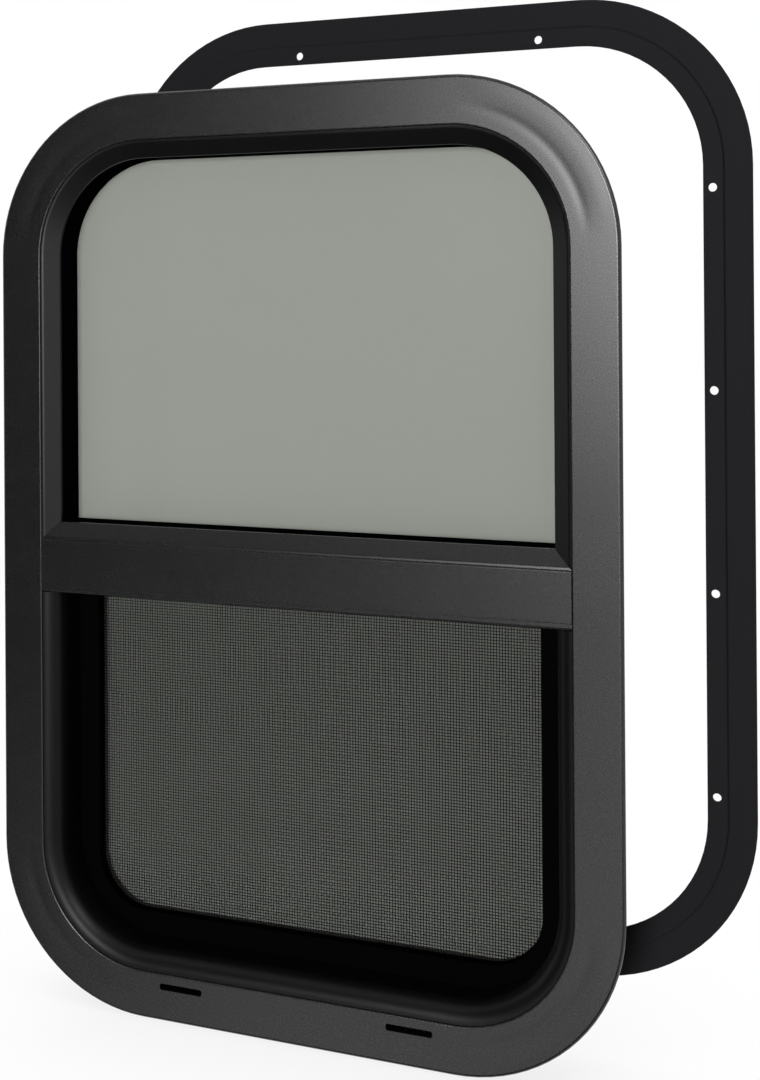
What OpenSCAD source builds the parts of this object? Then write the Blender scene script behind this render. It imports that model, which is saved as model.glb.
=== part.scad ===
// Caravan window with a bent frame, a fixed upper pane, a crossbar, a lower insect screen,
// a sliding lower pane behind it, and the inside trim ring taken off.
// X runs across the window, Z up and Y into the wall. The origin lies on the back of the
// outer flange, in the middle of its bottom edge.

/* [Outer frame] */
// Width over the outer flange
frame_w = 406; // [300:1:700]
// Height over the outer flange
frame_h = 578; // [440:1:900]
// Outer corner radius
corner_r = 101; // [84:1:120]
// Width of the flange that shows outside
flange_w = 29; // [26:0.5:34]
// Thickness of the flange
flange_t = 2.6; // [2.2:0.1:3.2]
// Radius of the flange's outer front edge
lip_r = 2.2; // [0.8:0.1:2.2]
// Radius of the flange's inner front edge
edge_r = 0.8; // [0.3:0.1:1.2]
// Distance from the flange's outer edge to the leg that goes into the wall
leg_inset = 14; // [11:0.5:16]
// Wall thickness of the frame section
wall = 1.8; // [1.4:0.1:2.2]
// Thickness of the fins that part the panes
fin_t = 1.6; // [1.2:0.1:2]
// How far the fin in front of the fixed pane reaches past the flange
stop_w = 5; // [3:0.5:6]
// Width of the two grooves for sealing tape in the flange's back
groove_w = 1.6; // [0.8:0.1:2.4]
// Depth of the sealing tape grooves
groove_t = 0.6; // [0.3:0.1:1]
// Width of the groove that takes the trim ring's screws
race_w = 3.4; // [2.8:0.1:3.8]
// Wall thickness beside that groove
race_wall = 2; // [1.4:0.1:2.4]

/* [Weep slots] */
// Length of a weep slot
slot_len = 29; // [16:1:40]
// Height of a weep slot
slot_h = 4; // [3.9:0.1:5]
// Corner radius of a weep slot
slot_r = 1.4; // [0.5:0.1:1.9]
// Distance of each slot's middle from the frame's side
slot_side = 128; // [120:1:145]

/* [Glazing] */
// Thickness of both panes
glass_t = 3.2; // [2.8:0.1:3.6]
// Depth of the fixed pane's front face behind the flange's back
glass_y = 25; // [22:0.5:28]
// Gap between the fixed pane's edge and the frame's leg
glass_gap = 4; // [2:0.5:5]
// Thickness of the glazing tape
tape_t = 1.2; // [0.8:0.1:1.6]
// Thickness of the seal between the fixed pane and the crossbar
rear_seal_t = 2; // [1.4:0.1:2.4]
// Width of the bead between the flange and the panes
bead_w = 10.7; // [8:0.1:12]
// Radius at the front of the bead round the fixed pane
nose_r = 4; // [2.5:0.5:6]
// Slope of that bead from its front back to the pane, in degrees
nose_slope = 28; // [20:1:34]
// Wall thickness of the bead
bead_wall = 2; // [1.4:0.1:2.4]
// How far the bead's front lies behind the flange's front
bead_drop = 0.9; // [0.4:0.1:1.4]
// Width of the rubber gasket between the bead and the fixed pane
gasket_w = 3; // [2:0.1:4]

/* [Crossbar] */
// Distance of the crossbar's middle below the window's middle
bar_drop = 9; // [-40:1:40]
// Height of the crossbar's face
bar_h = 30; // [26:1:44]
// Height of the lip under the crossbar's face
lip_h = 3.5; // [2.5:0.1:6]
// Width of the fine grooves that edge the face
line_w = 0.4; // [0.3:0.1:0.8]
// Distance of the upper fine groove from the face's top edge
line_in = 2; // [1.4:0.1:4]
// Depth of the pocket that the fixed pane stands in
pocket_h = 13; // [10:0.5:15]

/* [Insect screen] */
// Width of the screen's frame members
screen_w = 23.4; // [18:0.1:26]
// Thickness of the screen's frame members
screen_t = 7.4; // [6:0.1:8]
// Inner corner radius of the screen's frame
screen_r = 34; // [24:1:46]
// Distance from the flange's outer edge to the screen's frame
screen_inset = 31; // [30:0.5:33]
// Wall thickness of the screen's frame
screen_wall = 1.2; // [0.8:0.1:1.6]
// Radius of the front edges of the screen's frame
screen_edge = 1; // [0.5:0.1:1.5]
// Width of the groove for the spline
spline_w = 3.4; // [2.6:0.1:4]
// Depth of the groove for the spline
spline_h = 2.8; // [2:0.1:3.4]
// Thickness of the mesh sheet
mesh_t = 0.4; // [0.3:0.1:0.5]
// Height of a pull tab
tab_h = 26; // [16:1:40]
// Width of a pull tab
tab_w = 8; // [6:0.5:10]

/* [Sliding pane] */
// Depth of the groove that the sliding pane runs in
slide_room = 8.2; // [7.4:0.1:10]
// Width of the lined channel in that groove
channel_w = 10; // [8:0.5:12]
// Thickness of the channel's floor
channel_floor = 2; // [1.4:0.1:2.6]
// Height of the channel on the sliding pane's top edge
top_rail_h = 18; // [14:0.5:20]
// Height of the rail that the sliding pane is pulled by
pull_h = 22; // [16:1:30]
// Height of the pull rail's middle above the frame's bottom edge
pull_z = 114; // [106:1:150]
// How far the pull rail's lip stands out behind the frame
pull_out = 1; // [0.4:0.1:1.2]
// Length of a latch
latch_len = 26; // [18:1:36]
// Height of a latch
latch_h = 12; // [8:0.5:16]
// Gap between a latch and the frame's rear fin
latch_gap = 8; // [5:0.5:12]
// Diameter of a latch's bolt
bolt_d = 3; // [2.4:0.1:3.4]

/* [Trim ring] */
// Width of the trim ring's band
ring_w = 28; // [26:0.5:34]
// Width of its outer band, up to the step
ring_step_u = 18; // [14:0.5:18.5]
// Height of the step
ring_step = 2; // [1.6:0.1:3]
// Thickness of the trim ring
ring_t = 1.8; // [1.2:0.1:2.4]
// Diameter of its screw holes
hole_d = 5; // [3.5:0.1:5.4]
// Distance of the holes from the ring's outer edge
hole_u = 22.5; // [21.5:0.5:24]
// Distance of the top and bottom holes from the ring's sides
hole_side = 125; // [110:1:145]
// Distance of the outermost side holes from the ring's ends
hole_end = 114; // [106:1:150]
// How far the ring is taken off to the right
ring_dx = 65.6; // [0:0.1:90]
// How far the ring is taken off upwards
ring_dz = 47.1; // [0:0.1:90]
// Gap between the frame's rear end and the ring
ring_gap = 2.5; // [1.3:0.1:200]

/* [Hidden] */
$fn = 96;
// Clearance between pieces that are pushed together
fit = 0.3;
// Overshoot of a cutting tool
cut = 1;

half_w = frame_w / 2;
half_h = frame_h / 2;
// The middle of the land that lies on the wall, where the origin is
land_u = leg_inset / 2;
centre_z = half_h - land_u;
front_y = -flange_t;

// Depths of the frame's fins, from the flange's back
stop_back = glass_y - tape_t;
stop_front = stop_back - fin_t;
stop_reach = flange_w + stop_w;
glass_back = glass_y + glass_t;
screen_room = screen_t + 4 * fit;
mid_fin_front = stop_back + screen_room;
mid_fin_back = mid_fin_front + fin_t;
rear_fin_front = mid_fin_back + slide_room;
leg_depth = rear_fin_front + wall;

// The groove for the ring's screws
race_in = hole_u - race_w / 2 - race_wall;
race_out = hole_u + race_w / 2 + race_wall;
race_floor = mid_fin_back + race_wall;

// The lined channel and the pane that runs in it
channel_u0 = race_out + fit;
channel_u1 = channel_u0 + channel_w;
fin_reach = channel_u1 + fit;
slide_y = (mid_fin_back + rear_fin_front - glass_t) / 2;
slide_back = slide_y + glass_t;
slide_inset = channel_u0 + channel_floor + fit;
slide_half = half_w - slide_inset;
slide_low = half_h - slide_inset;
bend_z = half_h - corner_r;

// The bead and the gasket, as distances from the flange's outer edge
bead_u0 = flange_w + fit;
bead_u1 = bead_u0 + bead_w;
bead_front = front_y + bead_drop;
// Where the rounded front turns into the slope, and where the slope ends
slope_u = bead_u0 + nose_r * sin(nose_slope);
slope_y = bead_front + nose_r * (1 - cos(nose_slope));
nose_back = slope_y + (bead_u1 - slope_u) * tan(nose_slope);
bead_back = nose_back + bead_wall;
gasket_u1 = bead_u1 - fit;
gasket_u0 = gasket_u1 - gasket_w;

// The crossbar, as heights above its own middle
bar_z = -bar_drop;
bar_top = bar_h / 2;
bar_half = half_w - flange_w - fit;
nose_rise = bar_top - flange_w;
pocket_top = bar_top + stop_w;
pocket_floor = pocket_top - pocket_h;
pocket_bed = pocket_floor + fin_t;
pocket_back = glass_back + rear_seal_t;
bar_back = pocket_back + fin_t;
lip_front = front_y + line_w;
lip_back = lip_front + 2 * wall;
lip_foot = bar_top + lip_h;
glass_foot = bar_z + pocket_bed + fit;
seal_u = leg_inset + wall + glass_gap + cut;

// The insect screen
screen_back = mid_fin_front - fit;
screen_front = screen_back - screen_t;
screen_half = half_w - screen_inset;
screen_low = half_h - screen_inset;
screen_bend = screen_r + screen_w;
screen_top = bar_z + pocket_floor - fin_t - 3 * fit;
spline_u1 = screen_w - 2 * screen_wall;
spline_u0 = spline_u1 - spline_w;

slide_top = bar_z + pocket_bed;
pull_half = half_w - fin_reach - latch_gap;
tab_drop = 3 * bar_h;

ring_front = leg_depth + ring_gap;
ring_band = ring_front + ring_step;
bend_r = ring_step / 2;
hole_x = half_w - hole_side;
hole_z = half_h - hole_end;

BLACK = [0.13, 0.13, 0.14];
DARK = [0.07, 0.07, 0.075];
RUBBER = [0.04, 0.04, 0.04];
TINT = [0.45, 0.48, 0.45, 0.9];
SMOKE = [0.12, 0.13, 0.12, 0.9];

// A rectangle of a section, from its inward distance u and its depth y
module block(u0, u1, y0, y1) {
    translate([u0, y0]) square([u1 - u0, y1 - y0]);
}

// The same with its two front corners rounded
module soft_block(u0, u1, y0, y1, r) {
    block(u0, u1, y0 + r, y1);
    block(u0 + r, u1 - r, y0, y1);
    for (u = [u0 + r, u1 - r]) translate([u, y0 + r]) circle(r, $fn = 32);
}

// Both straight uprights of a bent section
module uprights(hw, z0, z1) {
    for (side = [0, 1]) mirror([side, 0, 0])
        translate([-hw, 0, z0]) linear_extrude(z1 - z0) children();
}

// One straight run along the top, hanging down from its height
module run_across(half, z) {
    translate([-half, 0, z]) rotate([0, 90, 0]) linear_extrude(2 * half) children();
}

// The straight top stretch and the two top bends of a bent section
module crown(hw, top, r) {
    run_across(hw - r, top) children();
    for (side = [0, 1]) mirror([side, 0, 0])
        translate([hw - r, 0, top - r]) rotate([90, 0, 0])
            rotate_extrude(angle = 90) translate([r, 0]) rotate(180) children();
}

// A section bent over the top of the window, with its feet at one height
module arch(hw, top, r, foot) {
    uprights(hw, foot, top - r) children();
    crown(hw, top, r) children();
}

// A section bent all the way round
module loop(hw, hh, r) {
    uprights(hw, r - hh, hh - r) children();
    crown(hw, hh, r) children();
    mirror([0, 0, 1]) crown(hw, hh, r) children();
}

// A straight member across the window, from a section drawn as height and depth
module across(half, z) {
    mirror([0, 0, 1]) run_across(half, -z) children();
}

// A flat sheet in the plane of the window
module sheet(y0, t) {
    translate([0, y0 + t, 0]) rotate([90, 0, 0]) linear_extrude(t) children();
}

// An outline with two round top corners and a straight foot
module pane_outline(hw, top, r, foot) {
    translate([-hw, foot]) square([2 * hw, top - r - foot]);
    translate([r - hw, foot]) square([2 * (hw - r), top - foot]);
    for (side = [-1, 1]) translate([side * (hw - r), top - r]) circle(r);
}

module in_place() {
    translate([0, 0, centre_z]) children();
}

// Section of the frame: flange, wall leg, bead wall, glass stop, fins and screw groove
module frame_section() {
    difference() {
        union() {
            block(lip_r, flange_w - edge_r, front_y, 0);
            block(0, flange_w, front_y + lip_r, 0);
            block(flange_w - wall, flange_w, front_y + edge_r, 0);
            translate([lip_r, front_y + lip_r]) circle(lip_r, $fn = 48);
            translate([flange_w - edge_r, front_y + edge_r]) circle(edge_r, $fn = 32);
            block(leg_inset, leg_inset + wall, front_y / 2, leg_depth);
            block(flange_w - wall, flange_w, front_y / 2, stop_back);
            block(leg_inset, stop_reach, stop_front, stop_back);
            block(leg_inset, fin_reach, mid_fin_front, mid_fin_back);
            block(race_in, race_out, mid_fin_front, leg_depth);
            block(hole_u, fin_reach, rear_fin_front, leg_depth);
        }
        block(hole_u - race_w / 2, hole_u + race_w / 2, race_floor, leg_depth + cut);
        for (u = [land_u / 2, land_u * 3 / 2])
            block(u - groove_w / 2, u + groove_w / 2, -groove_t, cut);
    }
}

// A slot with rounded corners, cut through the flange
module weep_slot() {
    half_x = slot_len / 2;
    half_z = slot_h / 2;
    depth = flange_t + 2 * cut;
    for (x = [slot_r - half_x, half_x - slot_r]) for (z = [slot_r - half_z, half_z - slot_r])
        translate([x, cut, z]) rotate([90, 0, 0]) cylinder(r = slot_r, h = depth, $fn = 24);
    translate([slot_r - half_x, cut - depth, -half_z]) cube([slot_len - 2 * slot_r, depth, slot_h]);
    translate([-half_x, cut - depth, slot_r - half_z]) cube([slot_len, depth, slot_h - 2 * slot_r]);
}

// The notch in the rear fin that a latch's bolt springs into
module bolt_notch() {
    depth = latch_gap / 2;
    translate([half_w - fin_reach - cut, rear_fin_front - cut, pull_z - half_h - bolt_d / 2 - fit])
        cube([depth + cut, wall + 2 * cut, bolt_d + 2 * fit]);
}

module outer_frame() {
    slot_u = (leg_inset + flange_w) / 2;
    color(BLACK) in_place() difference() {
        loop(half_w, half_h, corner_r) frame_section();
        for (side = [0, 1]) mirror([side, 0, 0]) {
            translate([half_w - slot_side, 0, slot_u - half_h]) weep_slot();
            bolt_notch();
        }
    }
}

module upper_glass() {
    edge_u = leg_inset + wall + glass_gap;
    color(TINT) in_place() sheet(glass_y, glass_t)
        pane_outline(half_w - edge_u, half_h - edge_u, corner_r - edge_u, glass_foot);
}

// Section of the nose that slopes from the flange down to the fixed pane, hollow behind
module nose_section() {
    skin_y = slope_y + bead_wall / cos(nose_slope);
    root = bead_u0 + bead_wall;
    brink = bead_u1 - bead_wall;
    round_y = bead_front + nose_r;
    intersection() {
        translate([bead_u0, round_y]) circle(nose_r, $fn = 64);
        block(bead_u0, slope_u, bead_front, round_y);
    }
    polygon([[slope_u, slope_y], [bead_u1, nose_back], [bead_u1, bead_back], [brink, bead_back],
        [brink, skin_y + (brink - slope_u) * tan(nose_slope)],
        [root, skin_y + (root - slope_u) * tan(nose_slope)],
        [root, stop_front], [bead_u0, stop_front], [bead_u0, round_y]]);
}

// The prism under the mitre between an upright bead and the crossbar's nose
module mitre_wedge(gap) {
    reach = bead_w + 2 * fit;
    depth = stop_front - front_y + 2 * cut;
    for (side = [0, 1]) mirror([side, 0, 0])
        translate([flange_w - half_w, stop_front + cut, bar_z + bar_top])
            rotate([90, 0, 0]) linear_extrude(depth)
                polygon([[-cut, gap - cut], [reach, reach + gap], [reach, -bar_top], [-cut, -bar_top]]);
}

module upper_bead() {
    color(BLACK) in_place() difference() {
        arch(half_w, half_h, corner_r, bar_z + bar_top - cut) nose_section();
        mitre_wedge(fit);
    }
}

// Section of the gasket: a wall behind the bead's edge and a foot on the glass stop
module gasket_section() {
    block(gasket_u0, gasket_u1, bead_back, glass_y);
    block(stop_reach, gasket_u1, stop_front - fin_t, glass_y);
}

// One moulded rubber loop, with square corners over the crossbar
module upper_gasket() {
    overlap = gasket_w / 2;
    color(RUBBER) in_place() {
        arch(half_w, half_h, corner_r, bar_z + pocket_top + fit) gasket_section();
        across(half_w - gasket_u1 + overlap, bar_z + nose_rise) gasket_section();
    }
}

// Tape between the glass stop and the fixed pane, on all four sides
module upper_tape() {
    color(RUBBER) in_place() {
        arch(half_w, half_h, corner_r, bar_z + pocket_top)
            block(seal_u, stop_reach, stop_back, glass_y);
        across(half_w - seal_u, bar_z) block(pocket_bed + fit, pocket_top, stop_back, glass_y);
    }
}

// Seal behind the fixed pane: thick in the frame, thinner in the crossbar's pocket
module upper_rear_seal() {
    color(RUBBER) in_place() {
        arch(half_w, half_h, corner_r, bar_z + pocket_top)
            block(seal_u, stop_reach, glass_back, mid_fin_front);
        across(half_w - seal_u, bar_z) block(pocket_bed + fit, pocket_top, glass_back, pocket_back);
    }
}

// Section of the crossbar, height first: face, lip, nose, hollow and glass pocket
module bar_section() {
    difference() {
        union() {
            soft_block(-bar_top, bar_top, front_y, front_y + wall, edge_r);
            translate([wall - lip_foot, lip_front + wall]) circle(wall, $fn = 32);
            block(wall - lip_foot, line_w - bar_top, lip_front, lip_back);
            block(-lip_foot, line_w - bar_top, lip_front + wall, lip_back);
            block(-bar_top, wall - bar_top, front_y + edge_r, stop_back);
            block(bar_top - wall, bar_top, front_y + edge_r, stop_back);
            block(bar_top - cut, bar_top + fit + cut, bead_front + bead_wall, stop_front);
            translate([nose_rise, 0]) nose_section();
            block(-bar_top, pocket_top, stop_front, stop_back);
            block(pocket_floor, pocket_bed, stop_front, bar_back);
            block(pocket_floor, pocket_top, pocket_back, bar_back);
        }
        block(bar_top - line_in - line_w, bar_top - line_in, front_y - cut, front_y + line_w);
        block(-bar_top - line_w / 2, line_w / 2 - bar_top, front_y - cut, lip_front + line_w);
    }
}

// The room above the crossbar's mitred nose, and the slots that pass the frame's glass stop
module bar_trim() {
    reach = bead_w + stop_w;
    notch = stop_w + fit;
    for (side = [0, 1]) mirror([side, 0, 0]) {
        translate([flange_w - half_w, stop_front - fit, bar_z + bar_top])
            rotate([90, 0, 0]) linear_extrude(stop_front - fit - front_y + cut)
                polygon([[-cut, -cut / 2], [fit, fit], [reach, reach], [-cut, reach]]);
        translate([-bar_half - cut, stop_front - fit, bar_z - bar_h])
            cube([notch - fit + cut, fin_t + 2 * fit, 2 * bar_h]);
    }
}

module crossbar() {
    color(BLACK) in_place() difference() {
        across(bar_half, bar_z) bar_section();
        bar_trim();
    }
}

// Section of the round bead beside the screen, straight back to the screen's frame
module round_bead_section() {
    nose_y = bead_front + bead_w;
    difference() {
        union() {
            intersection() {
                translate([bead_u0, nose_y]) circle(bead_w);
                block(bead_u0, bead_u1, bead_front, nose_y);
            }
            block(bead_u0, bead_u1, nose_y, screen_front - fit);
        }
        block(bead_u0 + bead_wall, bead_u1 - bead_wall, nose_y, screen_front);
        block(bead_u0 - cut, stop_reach + fit, stop_front - fit, screen_front);
    }
}

module lower_bead() {
    color(DARK) in_place() mirror([0, 0, 1])
        arch(half_w, half_h, corner_r, lip_foot - bar_z + fit) round_bead_section();
}

// Section of the screen's frame, with a groove in its back for the spline
module screen_section() {
    difference() {
        soft_block(0, screen_w, screen_front, screen_back, screen_edge);
        block(screen_wall, spline_u0 - screen_wall, screen_front + screen_wall,
            screen_back - screen_wall);
        block(spline_u0, spline_u1, screen_back - spline_h, screen_back + cut);
        block(spline_u0, screen_w + cut, screen_back - mesh_t, screen_back + cut);
    }
}

module screen_frame() {
    color(DARK) in_place() mirror([0, 0, 1])
        arch(screen_half, screen_low, screen_bend, screen_w - screen_top) screen_section();
}

module screen_top_rail() {
    color(DARK) in_place() run_across(screen_half, screen_top) screen_section();
}

// The cord that holds the mesh in its groove, in the uprights and the bottom
module screen_spline() {
    color(RUBBER) in_place() mirror([0, 0, 1])
        arch(screen_half, screen_low, screen_bend, screen_w - screen_top)
            block(spline_u0, spline_u1, screen_back - spline_h, screen_back);
}

module screen_mesh() {
    color(DARK) in_place() sheet(screen_back - mesh_t, mesh_t) mirror([0, 1])
        pane_outline(screen_half - spline_u1, screen_low - spline_u1, screen_bend - spline_u1,
            spline_u1 - screen_top);
}

// A pull tab on the back of the screen's upright, beside the spline
module screen_tab() {
    color(RUBBER) in_place()
        translate([screen_half - spline_u0 + fit, screen_back, bar_z - tab_drop]) {
            cube([tab_w, fin_t, tab_h]);
            translate([0, fin_t, 0]) cube([tab_w, fin_t, fin_t]);
        }
}

module screen_tab_left() {
    mirror([1, 0, 0]) screen_tab();
}

module screen_tab_right() {
    screen_tab();
}

module sliding_glass() {
    color(SMOKE) in_place() sheet(slide_y, glass_t) mirror([0, 1])
        pane_outline(slide_half, slide_low, corner_r - slide_inset, -slide_top);
}

// A channel over the sliding pane's top edge
module sash_top_rail() {
    color(BLACK) in_place() across(half_w - fin_reach - cut, slide_top) difference() {
        block(wall - top_rail_h, wall, slide_y - wall, slide_back + wall);
        block(wall - top_rail_h - cut, 0, slide_y, slide_back);
    }
}

module meeting_pile() {
    color(RUBBER) in_place() across(half_w - fin_reach - cut, slide_top)
        block(-wall, wall, bar_back + fit, slide_y - wall);
}

// The rail across the sliding pane, with a rounded lip to lift it by
module sash_pull_rail() {
    tip = leg_depth + pull_out;
    color(BLACK) in_place() across(pull_half, pull_z - half_h) {
        block(-pull_h / 2, pull_h / 2, slide_back, slide_back + wall);
        block(pull_h / 2 - wall, pull_h / 2, slide_back, tip - wall / 2);
        translate([pull_h / 2 - wall / 2, tip - wall / 2]) circle(wall / 2, $fn = 32);
    }
}

// A spring latch on the pull rail, with its bolt out to the notch in the jamb
module latch() {
    back = slide_back + wall;
    bolt_y = rear_fin_front + fit + bolt_d / 2;
    tip = bolt_y + bolt_d / 2 + 2 * fit;
    reach = latch_gap * 5 / 4;
    color(RUBBER) in_place() translate([pull_half, 0, pull_z - half_h]) {
        translate([-latch_len, back, -latch_h / 2]) cube([latch_len, tip - back, latch_h]);
        translate([-cut, bolt_y, 0]) rotate([0, 90, 0])
            cylinder(d = bolt_d, h = reach + cut, $fn = 32);
    }
}

module latch_left() {
    mirror([1, 0, 0]) latch();
}

module latch_right() {
    latch();
}

// Section of the lined channel that the sliding pane runs in
module channel_section() {
    difference() {
        block(channel_u0, channel_u1, mid_fin_back, rear_fin_front);
        block(channel_u0 + channel_floor, channel_u1 + cut, slide_y - fit, slide_back + fit);
    }
}

module run_channel() {
    color(RUBBER) in_place() translate([-half_w, 0, -bend_z]) linear_extrude(2 * bend_z)
        channel_section();
}

module run_channel_left() {
    run_channel();
}

module run_channel_right() {
    mirror([1, 0, 0]) run_channel();
}

module sill_seal() {
    color(RUBBER) in_place() mirror([0, 0, 1]) crown(half_w, half_h, corner_r) channel_section();
}

// Section of the trim ring: outer band, rounded step and the inner band that takes the screws
module ring_section() {
    step_u = ring_step_u - ring_t;
    half_t = ring_t / 2;
    block(half_t, ring_step_u, ring_band, ring_band + ring_t);
    translate([half_t, ring_band + half_t]) circle(half_t, $fn = 32);
    difference() {
        block(step_u, ring_step_u, ring_front, ring_band + cut);
        block(step_u - cut, step_u + bend_r, ring_front - cut, ring_front + bend_r);
    }
    translate([step_u + bend_r, ring_front + bend_r]) circle(bend_r, $fn = 32);
    difference() {
        block(step_u - bend_r, step_u + cut / 2, ring_band - bend_r, ring_band + cut);
        translate([step_u - bend_r, ring_band - bend_r]) circle(bend_r, $fn = 32);
    }
    block(step_u + bend_r, ring_w - half_t, ring_front, ring_front + ring_t);
    translate([ring_w - half_t, ring_front + half_t]) circle(half_t, $fn = 32);
}

module screw_hole(x, z) {
    translate([x, ring_front - cut, z]) rotate([-90, 0, 0])
        cylinder(d = hole_d, h = ring_t + 2 * cut, $fn = 32);
}

module trim_ring() {
    color(BLACK) in_place() translate([ring_dx, 0, ring_dz]) difference() {
        loop(half_w, half_h, corner_r) ring_section();
        for (side = [-1, 1]) {
            for (end = [-1, 1]) screw_hole(side * hole_x, end * (half_h - hole_u));
            for (step = [-3 : 2 : 3]) screw_hole(side * (half_w - hole_u), step * hole_z / 3);
        }
    }
}

outer_frame();
upper_glass();
upper_bead();
upper_gasket();
upper_tape();
upper_rear_seal();
crossbar();
lower_bead();
screen_frame();
screen_top_rail();
screen_spline();
screen_mesh();
screen_tab_left();
screen_tab_right();
sliding_glass();
sash_top_rail();
meeting_pile();
sash_pull_rail();
latch_left();
latch_right();
run_channel_left();
run_channel_right();
sill_seal();
trim_ring();
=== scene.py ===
import math

import bmesh
import bpy
from mathutils import Matrix, Vector


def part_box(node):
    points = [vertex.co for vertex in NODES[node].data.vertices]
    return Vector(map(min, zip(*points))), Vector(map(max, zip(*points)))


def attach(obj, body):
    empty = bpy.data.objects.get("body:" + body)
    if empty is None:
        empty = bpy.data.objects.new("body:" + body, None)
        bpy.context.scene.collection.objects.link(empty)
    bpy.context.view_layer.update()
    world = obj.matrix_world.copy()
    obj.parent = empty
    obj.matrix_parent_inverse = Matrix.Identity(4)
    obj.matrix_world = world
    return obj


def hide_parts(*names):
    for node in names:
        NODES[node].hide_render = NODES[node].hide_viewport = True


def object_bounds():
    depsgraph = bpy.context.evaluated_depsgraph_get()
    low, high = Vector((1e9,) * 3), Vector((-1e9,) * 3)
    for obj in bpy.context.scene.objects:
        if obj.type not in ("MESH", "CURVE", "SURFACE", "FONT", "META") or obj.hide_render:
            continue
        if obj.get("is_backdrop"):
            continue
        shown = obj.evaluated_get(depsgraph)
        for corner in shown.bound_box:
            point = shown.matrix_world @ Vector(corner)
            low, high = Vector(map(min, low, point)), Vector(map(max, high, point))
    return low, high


bl_info = {
    "name": "Caravan window",
    "version": (1, 0, 0),
    "blender": (4, 5, 0),
    "location": "View3D > Sidebar > Window",
    "description": "Dresses a caravan window with its materials, insect mesh, fixings and stage",
    "category": "Object",
}

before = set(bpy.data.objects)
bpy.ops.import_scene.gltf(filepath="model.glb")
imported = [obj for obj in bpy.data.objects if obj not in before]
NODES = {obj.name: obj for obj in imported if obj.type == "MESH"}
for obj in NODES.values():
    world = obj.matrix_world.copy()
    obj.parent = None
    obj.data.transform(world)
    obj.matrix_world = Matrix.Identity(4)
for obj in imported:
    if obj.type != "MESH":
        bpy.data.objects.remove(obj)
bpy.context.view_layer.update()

# The bent frame's box, the radius of its bends, and how far its leg stands in from the flange's edge
FRAME_LOW, FRAME_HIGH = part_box("outer_frame")
BEND_R = 0.101
LEG_INSET = 0.014
# The window's middle, and the middle of a bend, measured from there
MIDDLE_Z = (FRAME_LOW.z + FRAME_HIGH.z) / 2
BEND_X = FRAME_HIGH.x - BEND_R
BEND_Z = FRAME_HIGH.z - MIDDLE_Z - BEND_R
# Outer faces of the leg, which goes into the wall
LEG_X = FRAME_HIGH.x - LEG_INSET
LEG_Z = FRAME_LOW.z + LEG_INSET
# The middle of the crossbar's flat face, which stands on a lip
BAR_LIP = 0.0035
BAR_FACE = 0.030
BAR_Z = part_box("crossbar")[0].z + BAR_LIP + BAR_FACE / 2
# Bend of the insect mesh at its lower corners
SCREEN_R = 0.0362
# The latches with their sides of the window, and their two screws, measured outwards from the inner end
LATCHES = (("latch_left", -1), ("latch_right", 1))
LATCH_SCREWS = (0.0036, 0.0218)


# Settings


class WindowColours(bpy.types.PropertyGroup):
    frame_black: bpy.props.FloatVectorProperty(
        name="Frame", description="Colour of the satin black frame", default=(0.0052, 0.0053, 0.0057),
        size=3, subtype="COLOR", min=0, max=1)
    ring_black: bpy.props.FloatVectorProperty(
        name="Trim ring", description="Colour of the trim ring's coating", default=(0.0136, 0.0137, 0.0149),
        size=3, subtype="COLOR", min=0, max=1)
    bead_black: bpy.props.FloatVectorProperty(
        name="Bead", description="Colour of the beads beside the panes", default=(0.0022, 0.0022, 0.0025),
        size=3, subtype="COLOR", min=0, max=1)
    rubber_black: bpy.props.FloatVectorProperty(
        name="Rubber", description="Colour of the seals", default=(0.0016, 0.0016, 0.0017),
        size=3, subtype="COLOR", min=0, max=1)
    tint: bpy.props.FloatVectorProperty(
        name="Tint", description="Colour of the tinted panes", default=(0.302, 0.318, 0.286),
        size=3, subtype="COLOR", min=0, max=1)
    strand_black: bpy.props.FloatVectorProperty(
        name="Mesh strands", description="Colour of the insect mesh", default=(0.0030, 0.0032, 0.0030),
        size=3, subtype="COLOR", min=0, max=1)


class WindowSizes(bpy.types.PropertyGroup):
    pitch: bpy.props.FloatProperty(
        name="Mesh pitch", description="Distance between two strands of the insect mesh", default=0.001814,
        min=0.0008, max=0.004, subtype="DISTANCE", unit="LENGTH", precision=5)
    strand: bpy.props.FloatProperty(
        name="Strand", description="Thickness of one strand", default=0.00054,
        min=0.0001, max=0.001, subtype="DISTANCE", unit="LENGTH", precision=5)
    head_d: bpy.props.FloatProperty(
        name="Screw head", description="Diameter of the pan heads", default=0.0068,
        min=0.003, max=0.012, subtype="DISTANCE", unit="LENGTH", precision=5)
    grip_pitch: bpy.props.FloatProperty(
        name="Grip rib pitch", description="Distance between two ribs of a latch grip", default=0.0022,
        min=0.001, max=0.005, subtype="DISTANCE", unit="LENGTH", precision=5)


# Shader maths


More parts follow.
